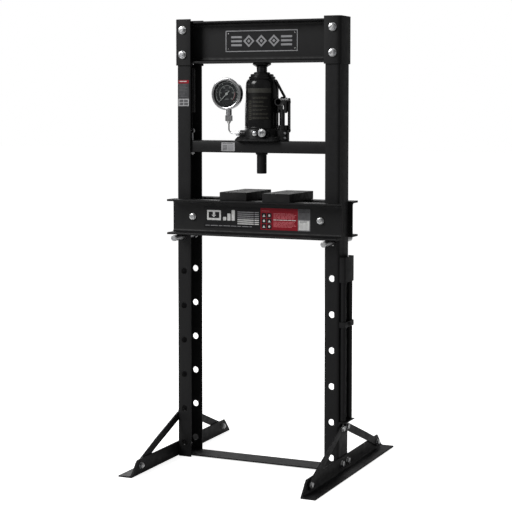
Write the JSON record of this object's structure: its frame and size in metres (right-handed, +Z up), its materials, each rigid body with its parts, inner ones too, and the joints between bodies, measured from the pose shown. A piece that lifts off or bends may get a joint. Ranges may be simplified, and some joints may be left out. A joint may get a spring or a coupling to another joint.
{
  "type": "hydraulic shop press",
  "caption": "Free-standing H-frame hydraulic shop press: height-adjustable bed on pins, sprung crosshead with upright bottle jack, hand pump and pressure gauge.",
  "frame": {"origin": "on the floor, midway between the columns and midway along the feet", "axes": "+Z up, +X from the left column to the right one, -Y towards the operator's side with the gauge dial"},
  "size_m": [0.6946, 0.76, 1.51],
  "materials": {
    "black_paint": "satin black powder coat",
    "jack_paint": "gloss black enamel",
    "plate_steel": "matt black oxide",
    "zinc": "bright zinc plating",
    "ground_steel": "ground and oiled",
    "dark_steel": "blackened, semi-gloss",
    "gauge_chrome": "polished",
    "gauge_black": "matt printed dial",
    "gauge_white": "matt white",
    "gauge_glass": "clear flat glass",
    "seal_rubber": "oiled nitrile"
  },
  "bodies": {
    "frame": {"left_column": "black_paint", "left_top_bracket": "black_paint", "left_bracket_bolt_lower": "zinc", "left_bracket_bolt_upper": "zinc", "left_foot": "black_paint", "left_front_brace": "black_paint", "left_rear_brace": "black_paint", "left_front_brace_upper_bolt": "zinc", "left_front_brace_lower_bolt": "zinc", "left_rear_brace_upper_bolt": "zinc", "left_rear_brace_lower_bolt": "zinc", "left_return_spring": "dark_steel", "right_column": "black_paint", "right_top_bracket": "black_paint", "right_bracket_bolt_lower": "zinc", "right_bracket_bolt_upper": "zinc", "right_foot": "black_paint", "right_front_brace": "black_paint", "right_rear_brace": "black_paint", "right_front_brace_upper_bolt": "zinc", "right_front_brace_lower_bolt": "zinc", "right_rear_brace_upper_bolt": "zinc", "right_rear_brace_lower_bolt": "zinc", "right_return_spring": "dark_steel", "top_beam": "black_paint", "floor_tie": "black_paint", "jack_ram": "dark_steel", "ram_seal": "seal_rubber", "ram_saddle": "jack_paint", "handle_holder": "black_paint", "handle_shelf": "black_paint"},
    "crosshead": {"crosshead": "black_paint", "press_pin": "dark_steel", "left_spring_eyebolt": "zinc", "right_spring_eyebolt": "zinc", "jack_base": "jack_paint", "jack_reservoir": "jack_paint", "jack_cylinder": "ground_steel", "jack_top_nut": "jack_paint", "pump_barrel": "jack_paint", "pump_side_links": "jack_paint", "pump_stay": "jack_paint", "gauge_case": "gauge_chrome", "gauge_lens": "gauge_glass", "gauge_dial": "gauge_black", "gauge_pipe": "zinc"},
    "release_valve": {"release_valve": "zinc"},
    "handle_socket": {"pump_handle_socket": "jack_paint"},
    "plunger": {"pump_plunger": "dark_steel"},
    "pointer": {"gauge_pointer": "gauge_white"},
    "bed": {"bed_front_channel": "black_paint", "bed_rear_channel": "black_paint", "left_bed_tie_bolt": "zinc", "right_bed_tie_bolt": "zinc"},
    "left_pin": {"left_bed_pin": "zinc"},
    "right_pin": {"right_bed_pin": "zinc"},
    "left_plate": {"left_press_plate": "plate_steel"},
    "right_plate": {"right_press_plate": "plate_steel"},
    "handle_lower_half": {"pump_handle_lower_half": "black_paint"},
    "handle_upper_half": {"pump_handle_upper_half": "black_paint"}
  },
  "joints": [
    {"name": "crosshead_stroke", "type": "slide", "parent": "frame", "child": "crosshead", "axis": [0, 0, -1], "range_m": [0, 0.12], "stiffness_N_per_m": 2000, "springref_m": -0.11, "deforming": ["left_return_spring", "right_return_spring"]},
    {"name": "release_valve_turn", "type": "hinge", "parent": "crosshead", "child": "release_valve", "pos_m": [0.03, -0.0603, 1.125], "axis": [0, -1, 0], "range_deg": [0, 180]},
    {"name": "handle_socket_swing", "type": "hinge", "parent": "crosshead", "child": "handle_socket", "pos_m": [0.0756, 0.024, 1.228], "axis": [1, 0, 0], "range_deg": [-35, 20]},
    {"name": "plunger_stroke", "type": "slide", "parent": "crosshead", "child": "plunger", "axis": [0, 0, -1], "range_m": [-0.015, 0.0086]},
    {"name": "gauge_pointer_turn", "type": "hinge", "parent": "crosshead", "child": "pointer", "pos_m": [-0.1054, -0.05525, 1.2555], "axis": [0, 1, 0], "range_deg": [0, 270]},
    {"name": "bed_height", "type": "slide", "parent": "frame", "child": "bed", "axis": [0, 0, -1], "range_m": [-0.1195, 0.5975]},
    {"name": "left_pin_pull", "type": "slide", "parent": "bed", "child": "left_pin", "axis": [0, -1, 0], "range_m": [0, 0.2]},
    {"name": "right_pin_pull", "type": "slide", "parent": "bed", "child": "right_pin", "axis": [0, -1, 0], "range_m": [0, 0.2]},
    {"name": "left_plate_slide", "type": "slide", "parent": "bed", "child": "left_plate", "axis": [-1, 0, 0], "range_m": [0, 0.125]},
    {"name": "right_plate_slide", "type": "slide", "parent": "bed", "child": "right_plate", "axis": [1, 0, 0], "range_m": [-0.028, 0.095]},
    {"name": "handle_lower_half_lift", "type": "slide", "parent": "frame", "child": "handle_lower_half", "axis": [0, 0, 1], "range_m": [0, 0.56]},
    {"name": "handle_upper_half_lift", "type": "slide", "parent": "frame", "child": "handle_upper_half", "axis": [0, 0, 1], "range_m": [0, 0.56]}
  ],
  "couplings": [
    {"joint": "plunger_stroke", "follows": "handle_socket_swing", "m_per_rad": 0.024}
  ]
}
